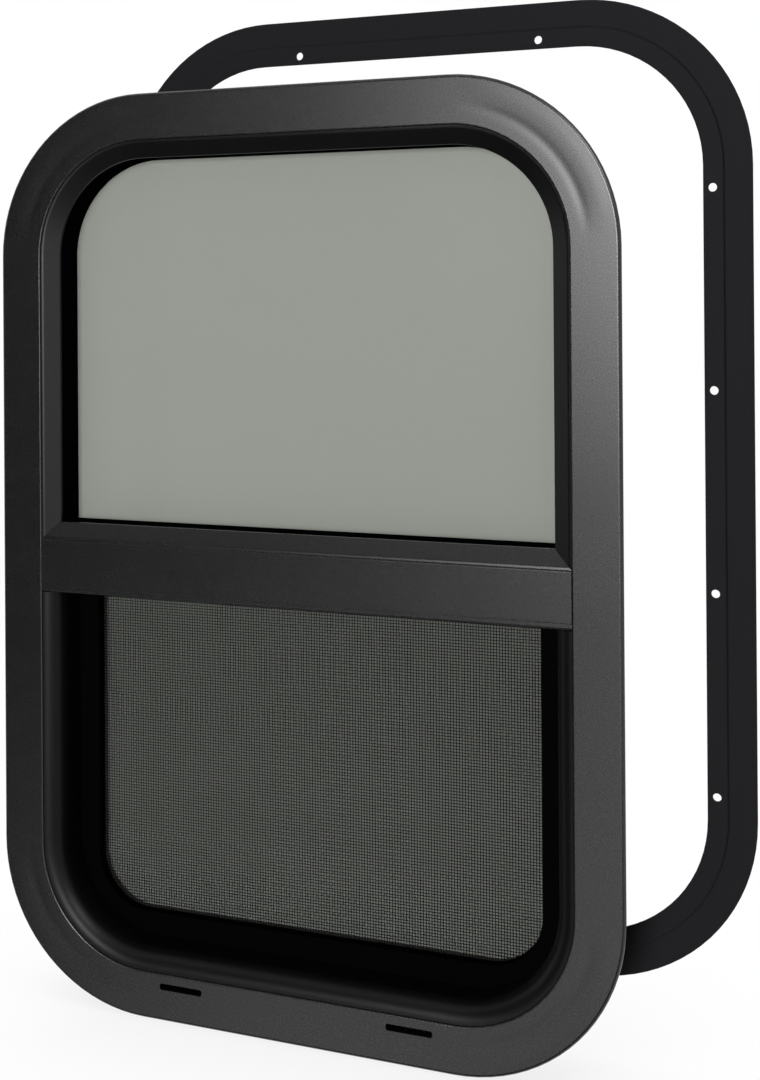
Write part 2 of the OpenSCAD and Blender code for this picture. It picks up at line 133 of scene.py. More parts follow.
class Value:
    """One socket of a material, with the operators that its maths needs."""

    def __init__(self, sheet, socket):
        self.sheet = sheet
        self.socket = socket

    def maths(self, operation, *others, clamp=False):
        return self.sheet.maths(operation, self, *others, clamp=clamp)

    def __add__(self, other):
        return self.maths("ADD", other)

    __radd__ = __add__

    def __mul__(self, other):
        return self.maths("MULTIPLY", other)

    __rmul__ = __mul__

    def __sub__(self, other):
        return self.maths("SUBTRACT", other)

    def __rsub__(self, other):
        return self.sheet.maths("SUBTRACT", other, self)

    def __truediv__(self, other):
        return self.maths("DIVIDE", other)

    def __rtruediv__(self, other):
        return self.sheet.maths("DIVIDE", other, self)

    def clamped(self):
        return self.maths("ADD", 0.0, clamp=True)

    def bell(self, middle, width):
        """One at the middle, falling off to nothing about two widths away."""
        away = (self - middle) * (1 / width)
        return (away * away * -1).maths("EXPONENT")

    def ramp(self, low, high, start=0.0, end=1.0):
        """A smooth change from start to end between the low and the high value."""
        return self.sheet.node(
            "ShaderNodeMapRange", {"interpolation_type": "SMOOTHSTEP"},
            {0: self, 1: low, 2: high, 3: start, 4: end})


class Sheet:
    """The node tree of a material or of the world."""

    def __init__(self, owner):
        owner.use_nodes = True
        self.tree = owner.node_tree
        self.tree.nodes.clear()
        of_world = isinstance(owner, bpy.types.World)
        self.end = "ShaderNodeOutputWorld" if of_world else "ShaderNodeOutputMaterial"

    def node(self, kind, settings=None, inputs=None, output=0):
        """Adds a node, sets it and joins it up, and gives one of its outputs."""
        made = self.tree.nodes.new(kind)
        for key, value in (settings or {}).items():
            setattr(made, key, value)
        for key, value in (inputs or {}).items():
            if isinstance(value, Value):
                self.tree.links.new(value.socket, made.inputs[key])
            else:
                made.inputs[key].default_value = value
        return Value(self, made.outputs[output])

    def maths(self, operation, *values, clamp=False):
        settings = {"operation": operation, "use_clamp": clamp}
        return self.node("ShaderNodeMath", settings, dict(enumerate(values)))

    def outputs(self, value):
        """All outputs of the node that a value comes from, by name."""
        node = value.socket.node
        return {socket.identifier: Value(self, socket) for socket in node.outputs}

    def place(self, scale=(1, 1, 1)):
        """Object coordinates, drawn out where the scale is below one."""
        at = self.node("ShaderNodeTexCoord", output=3)
        return self.node("ShaderNodeMapping", {}, {0: at, 3: scale})

    def noise(self, vector, scale, detail=2.0, rough=0.5):
        return self.node("ShaderNodeTexNoise", {}, {
            "Vector": vector, "Scale": scale, "Detail": detail, "Roughness": rough})

    def mix(self, factor, first, second):
        """A blend of two colours."""
        return self.node("ShaderNodeMix", {"data_type": "RGBA"}, {0: factor, 6: first, 7: second}, output=2)

    def bump(self, height, strength, distance):
        return self.node("ShaderNodeBump", {}, {"Height": height, "Strength": strength, "Distance": distance})

    def axes(self, vector):
        made = self.node("ShaderNodeSeparateXYZ", {}, {0: vector})
        return [Value(self, socket) for socket in made.socket.node.outputs]

    def surface(self, inputs):
        shader = self.node("ShaderNodeBsdfPrincipled", {}, inputs)
        self.show(shader)

    def show(self, shader):
        self.tree.links.new(shader.socket, self.tree.nodes.new(self.end).inputs[0])


def new_material(name):
    """A material and the sheet that its nodes go on."""
    made = bpy.data.materials.new(name)
    return made, Sheet(made)


def rgba(colour, gain=1.0):
    """A colour with its alpha, lighter or darker by the gain."""
    return tuple(part * gain for part in colour[:3]) + (1.0,)


# Materials


def bend_crease(sheet, at):
    """Height of the shallow wave that bending left in the flange's four corners, in metres."""
    across, _, up = sheet.axes(at)
    past = (across.maths("ABSOLUTE") - BEND_X).maths("MAXIMUM", 0.0)
    over = ((up - MIDDLE_Z).maths("ABSOLUTE") - BEND_Z).maths("MAXIMUM", 0.0)
    never_zero = 1e-9
    square = past * past + over * over + never_zero
    reach = square.maths("SQRT")
    along_bend = (past * over * 2 / square).ramp(0.05, 0.75)
    groove_in, groove_width, groove_depth = 0.0185, 0.0030, 0.00012
    swell_in, swell_width, swell_height = 0.0085, 0.0060, 0.00010
    groove = reach.bell(BEND_R - groove_in, groove_width) * -groove_depth
    swell = reach.bell(BEND_R - swell_in, swell_width) * swell_height
    return (groove + swell) * along_bend


def satin_black(name, colour, grain=0.5, gloss=0.27, sheen=0.5, draw=(1, 1, 1), bent=False):
    """Anodised or coated black metal: fine grain, soft mottling and faint drawing lines along the bar."""
    made, sheet = new_material(name)
    at = sheet.place()
    grit = sheet.noise(at, scale=1300.0, detail=3.0, rough=0.7)
    cloud = sheet.noise(at, scale=14.0, detail=3.0, rough=0.55)
    smear = sheet.noise(sheet.place(draw), scale=60.0, detail=3.0, rough=0.6)
    tone = (grit - 0.5) * grain + (cloud - 0.5) * 0.14 + (smear - 0.5) * 0.06 + 0.5
    base = sheet.mix(tone.clamped(), rgba(colour, 0.80), rgba(colour, 1.20))
    rough = (cloud - 0.5) * 0.03 + (smear - 0.5) * 0.02 + (grit - 0.5) * 0.08 + gloss
    grit_height = 0.000010
    height = grit * grit_height
    if bent:
        height = height + bend_crease(sheet, at)
    relief = sheet.bump(height, 1.0, 1.0)
    sheet.surface({
        "Base Color": base, "Roughness": rough.clamped(), "Normal": relief, "Specular IOR Level": sheen})
    return made


def dull_rubber(name, colour, sheen=0.25):
    """Black seal rubber with a dusty bloom and moulding grain."""
    made, sheet = new_material(name)
    at = sheet.place()
    bloom = sheet.noise(at, scale=45.0, detail=4.0, rough=0.6)
    grain = sheet.noise(at, scale=1500.0)
    base = sheet.mix((bloom * 0.7 + grain * 0.3).clamped(), rgba(colour, 0.6), rgba(colour, 1.4))
    rough = (bloom - 0.5) * 0.2 + 0.62
    sheet.surface({
        "Base Color": base, "Roughness": rough.clamped(), "Normal": sheet.bump(grain, 0.25, 0.00008),
        "Specular IOR Level": sheen})
    return made


def tinted_pane(name, colour, alpha):
    """Tinted safety glass: a dense grey-green body under a clear glossy face."""
    made, sheet = new_material(name)
    at = sheet.place()
    haze = sheet.noise(at, scale=5.0)
    dust = sheet.noise(at, scale=420.0, detail=3.0, rough=0.7)
    specks = dust.ramp(0.66, 0.80)
    dust_grey = (0.6, 0.6, 0.58, 1.0)
    base = sheet.mix(haze, rgba(colour, 0.985), rgba(colour, 1.015))
    base = sheet.mix(specks * 0.04, base, dust_grey)
    rough = specks * 0.12 + 0.06
    sheet.surface({"Base Color": base, "Roughness": rough, "Alpha": alpha, "Specular IOR Level": 0.08})
    return made


def pile_cloth(name, colour):
    """Matt woven pile with a fuzzy surface."""
    made, sheet = new_material(name)
    fuzz = sheet.noise(sheet.place(), scale=3200.0, detail=3.0, rough=0.8)
    base = sheet.mix(fuzz, rgba(colour, 0.5), rgba(colour, 2.2))
    sheet.surface({
        "Base Color": base, "Roughness": 0.95, "Normal": sheet.bump(fuzz, 0.6, 0.0003),
        "Sheen Weight": 0.3, "Specular IOR Level": 0.2})
    return made


def strand_coat(name, colour):
    """Coated glass-fibre yarn of the insect mesh."""
    made, sheet = new_material(name)
    twist = sheet.noise(sheet.place(), scale=900.0)
    base = sheet.mix(twist, rgba(colour, 0.6), rgba(colour, 1.6))
    sheet.surface({"Base Color": base, "Roughness": twist * 0.2 + 0.5, "Specular IOR Level": 0.12})
    return made


def moulded(name, colour):
    """Moulded black plastic with a spark-eroded grain and worn patches."""
    made, sheet = new_material(name)
    at = sheet.place()
    grain = sheet.noise(at, scale=2200.0, rough=0.6)
    wear = sheet.noise(at, scale=120.0, detail=3.0, rough=0.6)
    base = sheet.mix(wear, rgba(colour, 0.85), rgba(colour, 1.25))
    sheet.surface({
        "Base Color": base, "Roughness": (wear - 0.5) * 0.2 + 0.5, "Normal": sheet.bump(grain, 0.3, 0.00006)})
    return made


def zinc(name, dark=(0.05, 0.05, 0.052, 1), light=(0.10, 0.10, 0.104, 1)):
    """Zinc-plated steel of screws and rivets, black-passivated unless other colours are given."""
    made, sheet = new_material(name)
    at = sheet.place()
    patch = sheet.noise(at, scale=380.0, detail=3.0, rough=0.6)
    base = sheet.mix(patch, dark, light)
    sheet.surface({"Base Color": base, "Metallic": 1.0, "Roughness": (patch - 0.5) * 0.25 + 0.34})
    return made


def paint(node, material):
    """Puts a material on a CAD node."""
    data = NODES[node].data
    if not data.materials:
        data.materials.append(material)
    for slot in NODES[node].material_slots:
        slot.material = material


# Geometry helpers


class Plan:
    """A Geometry Nodes tree with named inputs."""

    def __init__(self, name, fields):
        self.tree = bpy.data.node_groups.new(name, "GeometryNodeTree")
        face = self.tree.interface
        self.keys = {}
        for title, kind, value in fields:
            item = face.new_socket(title, in_out="INPUT", socket_type=kind)
            if value is not None:
                item.default_value = value
            self.keys[title] = item.identifier
        face.new_socket("Geometry", in_out="OUTPUT", socket_type="NodeSocketGeometry")
        self.entry = self.tree.nodes.new("NodeGroupInput")
        self.exit = self.tree.nodes.new("NodeGroupOutput")

    def get(self, title):
        """The socket of a named input."""
        return next(socket for socket in self.entry.outputs if socket.name == title)

    def node(self, kind, settings=None, inputs=None):
        made = self.tree.nodes.new(kind)
        for key, value in (settings or {}).items():
            setattr(made, key, value)
        for key, value in (inputs or {}).items():
            if isinstance(value, bpy.types.NodeSocket):
                self.tree.links.new(value, made.inputs[key])
            else:
                made.inputs[key].default_value = value
        return made

    def maths(self, operation, *values):
        return self.node("ShaderNodeMath", {"operation": operation}, dict(enumerate(values))).outputs[0]

    def vector(self, **parts):
        """A vector from its named parts, the others being nothing."""
        return self.node("ShaderNodeCombineXYZ", {}, parts).outputs[0]

    def parts(self, vector):
        """The three parts of a vector, by name."""
        return self.node("ShaderNodeSeparateXYZ", {}, {0: vector}).outputs

    def turned_to(self, facing):
        """A rotation that points Z along a vector."""
        return self.node("FunctionNodeAlignRotationToVector", {"axis": "Z"}, {"Vector": facing}).outputs[0]

    def finish(self, geometry, material):
        """Ends the tree in real geometry of one material."""
        real = self.node("GeometryNodeRealizeInstances", {}, {0: geometry})
        coat = self.node("GeometryNodeSetMaterial", {}, {"Geometry": real.outputs[0], "Material": material})
        self.tree.links.new(coat.outputs[0], self.exit.inputs[0])


def baked(name, plan, values, seed_mesh=None, replaces=()):
    """The plan's result as a plain mesh object at the origin, riding on the root body."""
    holder = bpy.data.objects.new(name + "_plan", seed_mesh or bpy.data.meshes.new(name + "_seed"))
    bpy.context.scene.collection.objects.link(holder)
    modifier = holder.modifiers.new("plan", "NODES")
    modifier.node_group = plan.tree
    for title, value in values.items():
        modifier[plan.keys[title]] = value
    graph = bpy.context.evaluated_depsgraph_get()
    mesh = bpy.data.meshes.new_from_object(holder.evaluated_get(graph), depsgraph=graph)
    holder.modifiers.clear()
    bpy.data.objects.remove(holder)
    mesh.name = name
    return settle(name, mesh, replaces)


def turned(profile, sides=20):
    """A closed solid of revolution about Z, from (radius, height) pairs that start and end on the axis."""
    work = bmesh.new()
    rings = []
    for radius, height in profile:
        count = sides if radius else 1
        angles = [2 * math.pi * step / count for step in range(count)]
        rings.append([
            work.verts.new((radius * math.cos(angle), radius * math.sin(angle), height)) for angle in angles])
    for low, high in zip(rings, rings[1:]):
        for here in range(sides):
            after = (here + 1) % sides
            corners = [
                low[here % len(low)], low[after % len(low)], high[after % len(high)], high[here % len(high)]]
            work.faces.new(list(dict.fromkeys(corners)))
    bmesh.ops.recalc_face_normals(work, faces=work.faces)
    return work


def slab(size, centre=(0, 0, 0), soften=0.0, corner=0.0):
    """A rectangular plate with rounded corners and softened edges."""
    work = bmesh.new()
    bmesh.ops.create_cube(work, size=1.0)
    for vert in work.verts:
        vert.co = Vector([part * side + middle for part, side, middle in zip(vert.co, size, centre)])
    if corner:
        half = size[2] / 2
        upright = [edge for edge in work.edges if abs(edge.verts[0].co.z - edge.verts[1].co.z) > half]
        bmesh.ops.bevel(work, geom=upright, offset=corner, segments=5, affect="EDGES", profile=0.5)
    if soften:
        sharp = math.radians(69)
        rim = [edge for edge in work.edges if edge.calc_face_angle(0) > sharp]
        bmesh.ops.bevel(work, geom=rim, offset=soften, segments=2, affect="EDGES", profile=0.5)
    return work


def as_mesh(name, work, smooth=True):
    """The worked shape as a mesh, flat or smooth between its sharp edges."""
    mesh = bpy.data.meshes.new(name)
    work.to_mesh(mesh)
    work.free()
    for face in mesh.polygons:
        face.use_smooth = smooth
    if smooth:
        mesh.set_sharp_from_angle(angle=math.radians(35))
    return mesh


def carved(body, cutter):
    """The first mesh with the second one cut out of it."""
    pair = [bpy.data.objects.new(mesh.name, mesh) for mesh in (body, cutter)]
    for item in pair:
        bpy.context.scene.collection.objects.link(item)
    cut = pair[0].modifiers.new("recess", "BOOLEAN")
    cut.operation = "DIFFERENCE"
    cut.solver = "EXACT"
    cut.object = pair[1]
    graph = bpy.context.evaluated_depsgraph_get()
    mesh = bpy.data.meshes.new_from_object(pair[0].evaluated_get(graph), depsgraph=graph)
    for item in pair:
        bpy.data.objects.remove(item)
    return mesh


def placed(name, part, places, material, spin=0.0, size=1.0):
    """One part set at every place, with its Z along the place's facing, as one plain mesh."""
    seed = 7
    plan = Plan("set " + name, [
        ("Places", "NodeSocketGeometry", None), ("Part", "NodeSocketObject", None),
        ("Spin", "NodeSocketFloat", 0.0), ("Size", "NodeSocketFloat", 1.0), ("Seed", "NodeSocketInt", seed),
        ("Material", "NodeSocketMaterial", None)])
    facing = plan.node("GeometryNodeInputNamedAttribute", {"data_type": "FLOAT_VECTOR"}, {"Name": "facing"})
    twist = plan.node("FunctionNodeRandomValue", {"data_type": "FLOAT"}, {"Seed": plan.get("Seed")})
    about = plan.vector(Z=plan.maths("MULTIPLY", twist.outputs[1], plan.get("Spin")))
    turn = plan.node("FunctionNodeRotateRotation", {"rotation_space": "LOCAL"}, {
        0: plan.turned_to(facing.outputs[0]), 1: about})
    source = plan.node("GeometryNodeObjectInfo", {}, {"Object": plan.get("Part")})
    spread = plan.node("GeometryNodeInstanceOnPoints", {}, {
        "Points": plan.get("Places"), "Instance": source.outputs["Geometry"], "Rotation": turn.outputs[0],
        "Scale": plan.get("Size")})
    plan.finish(spread.outputs[0], plan.get("Material"))
    seed_mesh = bpy.data.meshes.new(name + "_places")
    seed_mesh.from_pydata([point for point, _ in places], [], [])
    facings = seed_mesh.attributes.new("facing", "FLOAT_VECTOR", "POINT")
    facings.data.foreach_set("vector", [part for _, way in places for part in way])
    holder = bpy.data.objects.new(part.name, part)
    values = {"Part": holder, "Spin": spin, "Size": size, "Seed": seed, "Material": material}
    piece = baked(name, plan, values, seed_mesh=seed_mesh)
    bpy.data.objects.remove(holder)
    return piece


def settle(name, mesh, replaces=()):
    """Adds a finished mesh to the scene, riding on the window."""
    piece = bpy.data.objects.new(name, mesh)
    bpy.context.scene.collection.objects.link(piece)
    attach(piece, "root")
    if replaces:
        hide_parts(*replaces)
    return piece


def on_latch(name, side, reach):
    """A place on the back of a latch, so far out from its inner end, and the way that it faces."""
    low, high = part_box(name)
    inner = high.x if side < 0 else low.x
    return (inner + side * reach, high.y, (low.z + high.z) / 2), (0, 1, 0)


# Operators


class WINDOW_OT_coats(bpy.types.Operator):
    """Gives every solid of the window its finish"""

    bl_idname = "window.coats"
    bl_label = "Coat the solids"

    def execute(self, context):
        colours = context.scene.window_colours
        body = satin_black("satin frame", colours.frame_black, draw=(0.3, 1, 0.3), bent=True)
        bar = satin_black("satin crossbar", colours.frame_black, draw=(0.04, 1, 1))
        ring = satin_black("satin ring", colours.ring_black, gloss=0.5, sheen=0.018)
        # The screen's frame and top rail: black like the frame, but darkened further and without sheen as
        # painted shade for the deep recess between the bead and the insect mesh.
        screen = satin_black("painted strip", rgba(colours.frame_black, 0.3), gloss=0.6, sheen=0.0)
        bead = satin_black("satin bead", colours.bead_black, grain=0.12, gloss=0.33, sheen=0.20)
        round_bead = satin_black("satin round bead", colours.bead_black, grain=0.12, gloss=0.38, sheen=0.14)
        rubber = dull_rubber("seal rubber", colours.rubber_black)
        foam = dull_rubber("gasket rubber", colours.rubber_black, sheen=0.0)
        pile = pile_cloth("pile", (0.012, 0.012, 0.012))
        latch = moulded("moulded black", (0.014, 0.014, 0.015))
        upper = tinted_pane("tinted pane", colours.tint, 0.94)
        # The sliding pane is the same tinted glass as the upper one; its colour is darkened here as painted
        # shade for the shade behind the insect mesh.
        lower = tinted_pane("tinted sliding pane", rgba(colours.tint, 0.86), 0.95)
        finishes = {
            "outer_frame": body,
            "crossbar": bar, "sash_top_rail": bar, "sash_pull_rail": bar,
            "trim_ring": ring,
            "screen_frame": screen, "screen_top_rail": screen, "screen_mesh": screen,
            "upper_bead": bead,
            "lower_bead": round_bead,
            "upper_gasket": foam, "upper_tape": foam,
            "upper_rear_seal": rubber, "screen_spline": rubber, "sill_seal": rubber,
            "run_channel_left": rubber, "run_channel_right": rubber,
            "meeting_pile": pile,
            "latch_left": latch, "latch_right": latch, "screen_tab_left": latch, "screen_tab_right": latch,
            "upper_glass": upper,
            "sliding_glass": lower,
        }
        for node, material in finishes.items():
            paint(node, material)
        return {"FINISHED"}


class WINDOW_OT_mesh(bpy.types.Operator):
    """Weaves the insect mesh, strand over strand, as two crossing sets"""

    bl_idname = "window.mesh"
    bl_label = "Weave the insect mesh"

    # Share of its own thickness that a strand swings to either side as it passes the others
    WEAVE = 0.42

    def plan(self, upright):
        """Strands along Z if upright, else along X. Each goes over and under the other set in turn."""
        plan = Plan("mesh uprights" if upright else "mesh cross strands", [
            ("Count", "NodeSocketInt", 10), ("Crossings", "NodeSocketInt", 10),
            ("Pitch", "NodeSocketFloat", 0.0018), ("Strand", "NodeSocketFloat", 0.0004),
            ("Corner", "NodeSocketVector", (0, 0, 0)), ("Bend middle", "NodeSocketVector", (0, 0, 0)),
            ("Bend radius", "NodeSocketFloat", 0.03), ("Material", "NodeSocketMaterial", None)])
        pitch, strand = plan.get("Pitch"), plan.get("Strand")
        along, across = ("Z", "X") if upright else ("X", "Z")
        half_back = plan.maths("MULTIPLY", pitch, -0.5)
        line = plan.node("GeometryNodeMeshLine", {"mode": "OFFSET"}, {
            "Count": plan.maths("ADD", plan.get("Crossings"), 2),
            "Start Location": plan.vector(**{along: half_back}),
            "Offset": plan.vector(**{along: pitch})})
        rows = plan.node("GeometryNodeMeshLine", {"mode": "OFFSET"}, {
            "Count": plan.get("Count"),
            "Start Location": (0, 0, 0),
            "Offset": plan.vector(**{across: pitch})})
        curve = plan.node("GeometryNodeMeshToCurve", {}, {0: line.outputs[0]})
        spread = plan.node("GeometryNodeInstanceOnPoints", {}, {0: rows.outputs[0], 2: curve.outputs[0]})
        real = plan.node("GeometryNodeRealizeInstances", {}, {0: spread.outputs[0]})
        swing = self.WEAVE if upright else -self.WEAVE
        lift = plan.maths("MULTIPLY", plan.maths("MULTIPLY", self.side(plan), strand), swing)
        wave = plan.node("GeometryNodeSetPosition", {}, {0: real.outputs[0], "Offset": plan.vector(Y=lift)})
        moved = plan.node("GeometryNodeSetPosition", {}, {0: wave.outputs[0], "Offset": plan.get("Corner")})
        kept = plan.node("GeometryNodeDeleteGeometry", {"domain": "POINT"}, {
            0: moved.outputs[0], "Selection": self.past_bend(plan)})
        profile = plan.node("GeometryNodeCurvePrimitiveCircle", {"mode": "RADIUS"}, {
            "Resolution": 4, "Radius": plan.maths("MULTIPLY", strand, 0.5)})
        tube = plan.node("GeometryNodeCurveToMesh", {}, {
            0: kept.outputs[0], 1: profile.outputs[0], "Fill Caps": True})
        smooth = plan.node("GeometryNodeSetShadeSmooth", {}, {0: tube.outputs[0]})
        plan.finish(smooth.outputs[0], plan.get("Material"))
        return plan

    def side(self, plan):
        """One where a strand passes before the others and minus one where it passes behind, in turn."""
        at = plan.parts(plan.node("GeometryNodeInputPosition").outputs[0])
        column, row = (
            plan.maths("ROUND", plan.maths("DIVIDE", at[way], plan.get("Pitch"))) for way in ("X", "Z"))
        odd = plan.maths("FLOORED_MODULO", plan.maths("ADD", column, row), 2.0)
        return plan.maths("MULTIPLY_ADD", odd, 2.0, -1.0)

    def past_bend(self, plan):
        """Picks the points that lie past the round lower corners of the screen's frame."""
        at = plan.parts(plan.node("GeometryNodeInputPosition").outputs[0])
        middle = plan.parts(plan.get("Bend middle"))
        outward = plan.maths("SUBTRACT", plan.maths("ABSOLUTE", at["X"]), middle["X"])
        downward = plan.maths("SUBTRACT", middle["Z"], at["Z"])
        squares = [plan.maths("POWER", plan.maths("MAXIMUM", way, 0.0), 2.0) for way in (outward, downward)]
        reach = plan.maths("SQRT", plan.maths("ADD", *squares))
        return plan.maths("GREATER_THAN", reach, plan.get("Bend radius"))

    def execute(self, context):
        sizes = context.scene.window_sizes
        coat = strand_coat("coated strand", context.scene.window_colours.strand_black)
        low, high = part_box("screen_mesh")
        pitch = sizes.pitch
        columns = int((high.x - low.x) / pitch)
        rows = int((high.z - low.z) / pitch)
        y = high.y - sizes.strand * (self.WEAVE + 0.5)
        corner = Vector((-columns * pitch / 2, y, low.z + (high.z - low.z - rows * pitch) / 2))
        bend = Vector((high.x - SCREEN_R, y, low.z + SCREEN_R))
        for name, upright, count, crossings in (
                ("mesh_uprights", True, columns + 1, rows - 1),
                ("mesh_cross_strands", False, rows + 1, columns - 1)):
            values = {"Count": count, "Crossings": crossings, "Pitch": pitch, "Strand": sizes.strand,
                      "Corner": corner, "Bend middle": bend, "Bend radius": SCREEN_R, "Material": coat}
            baked(name, self.plan(upright), values, replaces=["screen_mesh"])
        return {"FINISHED"}


class WINDOW_OT_screws(bpy.types.Operator):
    """Sets the cross-recessed screws of the crossbar and the latches"""

    bl_idname = "window.screws"
    bl_label = "Set the screws"

    # Depth in the wall and rise from the crossbar's middle of the screws in the leg
    LEG_Y = 0.0105
    RISE = 0.008
    # The latches' screws are smaller than the crossbar's
    LATCH_SIZE = 0.62

    def pan_head(self, head_d):
        """A domed head with a cross recess, standing on Z."""
        radius, height, sunk = head_d / 2, head_d * 0.19, 0.0003
        dome = ((1.00, 0.30), (0.95, 0.62), (0.80, 0.86), (0.52, 0.97), (0, 1))
        profile = [(0, -sunk), (radius, -sunk)]
        profile += [(radius * out, height * up) for out, up in dome]
        body = as_mesh("pan head", turned(profile, 28))
        long, wide, deep = radius * 1.05, radius * 0.24, height * 1.4
        for size in ((long, wide, deep), (wide, long, deep)):
            body = carved(body, as_mesh("recess bar", slab(size, (0, 0, height)), smooth=False))
        body.name = "pan head"
        return body

    def execute(self, context):
        plated = zinc("black zinc")
        part = self.pan_head(context.scene.window_sizes.head_d)
        sides = [((side * LEG_X, self.LEG_Y, BAR_Z + rise), (side, 0, 0))
                 for side in (-1, 1) for rise in (-self.RISE, self.RISE)]
        placed("crossbar_screws", part, sides, plated, spin=3.0)
        for name, side in LATCHES:
            spots = [on_latch(name, side, reach) for reach in LATCH_SCREWS]
            placed(name + "_screws", part, spots, plated, spin=3.0, size=self.LATCH_SIZE)
        return {"FINISHED"}


class WINDOW_OT_grips(bpy.types.Operator):
    """Adds the finger ribs on the backs of both latches"""

    bl_idname = "window.grips"
    bl_label = "Rib the latches"

    def execute(self, context):
        pitch = context.scene.window_sizes.grip_pitch
        black = moulded("ribbed black", (0.012, 0.012, 0.013))
        rib = as_mesh("grip rib", slab((0.0010, 0.0076, 0.0011), (0, 0, 0.0001), soften=0.0003))
        between = sum(LATCH_SCREWS) / 2
        for name, side in LATCHES:
            spots = [on_latch(name, side, between + step * pitch) for step in (-2, -1, 0, 1, 2)]
            placed(name + "_grip", rib, spots, black)
        return {"FINISHED"}


class WINDOW_OT_joint(bpy.types.Operator):
    """Closes the bent frame's butt joint with a riveted plate under the leg"""

    bl_idname = "window.joint"
    bl_label = "Rivet the joint plate"

    def execute(self, context):
        thick, width, depth = 0.0008, 0.060, 0.022
        middle_y, sunk = 0.020, 0.00005
        middle = Vector((0, middle_y, LEG_Z - thick / 2 + sunk))
        work = slab((width, depth, thick), middle, soften=0.0002, corner=0.003)
        plate = as_mesh("joint_plate", work)
        bead_black = context.scene.window_colours.bead_black
        plate.materials.append(satin_black("plate black", bead_black, gloss=0.45))
        settle("joint_plate", plate)
        rim = 0.0024
        head = as_mesh("rivet", turned([
            (0, -0.0003), (rim, -0.0003), (rim, 0.0001), (0.0019, 0.00045), (0.0012, 0.0006),
            (0.0006, 0.0005), (0, 0.0003)]))
        spots = [((x, middle_y + y, LEG_Z - thick + sunk), (0, 0, -1))
                 for x in (-0.023, -0.008, 0.008, 0.023) for y in (-0.0065, 0.0065)]
        bright = zinc("plain zinc", (0.42, 0.41, 0.38, 1), (0.62, 0.62, 0.60, 1))
        placed("joint_rivets", head, spots, bright, spin=3.0)
        return {"FINISHED"}


class WINDOW_OT_pile(bpy.types.Operator):
    """Grows the weather pile between the crossbar and the sliding pane's rail"""

    bl_idname = "window.pile"
    bl_label = "Grow the weather pile"

    def backing(self, low, high, thick):
        """The woven strip that the bristles stand on, against the crossbar."""
        strip = slab((high.x - low.x, high.z - low.z, thick), ((low.x + high.x) / 2, 0, 0), soften=0.00015)
        for vert in strip.verts:
            x, y, z = vert.co
            vert.co = (x, high.y - thick / 2 - z, y + (low.z + high.z) / 2)
        bmesh.ops.recalc_face_normals(strip, faces=strip.faces)
        return as_mesh("pile_backing", strip)

    def bristles(self):
        """A bed of leaning hairs that point along minus Y."""
        plan = Plan("pile bristles", [
            ("Length", "NodeSocketFloat", 0.33), ("Width", "NodeSocketFloat", 0.003),
            ("Height", "NodeSocketFloat", 0.002), ("Root", "NodeSocketFloat", 0.0002),
            ("Tip", "NodeSocketFloat", 0.0001), ("Along", "NodeSocketInt", 200), ("Rows", "NodeSocketInt", 4),
            ("Corner", "NodeSocketVector", (0, 0, 0)), ("Seed", "NodeSocketInt", 11),
            ("Material", "NodeSocketMaterial", None)])
        grid = plan.node("GeometryNodeMeshGrid", {}, {
            "Size X": plan.get("Length"), "Size Y": plan.get("Width"),
            "Vertices X": plan.get("Along"), "Vertices Y": plan.get("Rows")})
        hair = plan.node("GeometryNodeMeshCone", {"fill_type": "TRIANGLE_FAN"}, {
            "Vertices": 4, "Radius Top": plan.get("Tip"), "Radius Bottom": plan.get("Root"),
            "Depth": plan.get("Height")})
        lean = plan.node("FunctionNodeRandomValue", {"data_type": "FLOAT_VECTOR"}, {
            0: (-0.10, -0.12, 0), 1: (0.10, 0.12, 1.5), "Seed": plan.get("Seed")})
        stretch = plan.node("FunctionNodeRandomValue", {"data_type": "FLOAT"}, {
            2: 0.80, 3: 1.0, "Seed": plan.get("Seed")})
        spread = plan.node("GeometryNodeInstanceOnPoints", {}, {
            "Points": grid.outputs[0], "Instance": hair.outputs[0], "Rotation": lean.outputs[0],
            "Scale": stretch.outputs[1]})
        stand = plan.node("GeometryNodeTransform", {}, {
            0: spread.outputs[0], "Translation": plan.get("Corner"), "Rotation": (math.pi / 2, 0, 0)})
        plan.finish(stand.outputs[0], plan.get("Material"))
        return plan

    def execute(self, context):
        low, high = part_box("meeting_pile")
        cloth = pile_cloth("pile fibre", (0.010, 0.010, 0.010))
        thick, end_gap, edge_gap = 0.0006, 0.001, 0.0006
        base = self.backing(low, high, thick)
        base.materials.append(cloth)
        settle("pile_backing", base, replaces=["meeting_pile"])
        corner = Vector(((low.x + high.x) / 2, high.y - thick, (low.z + high.z) / 2))
        values = {"Length": high.x - low.x - 2 * end_gap, "Width": high.z - low.z - 2 * edge_gap,
                  "Height": high.y - low.y - thick, "Along": 410, "Rows": 5, "Root": 0.00024, "Tip": 0.00008,
                  "Corner": corner, "Seed": 11, "Material": cloth}
        baked("pile_bristles", self.bristles(), values, replaces=["meeting_pile"])
        return {"FINISHED"}


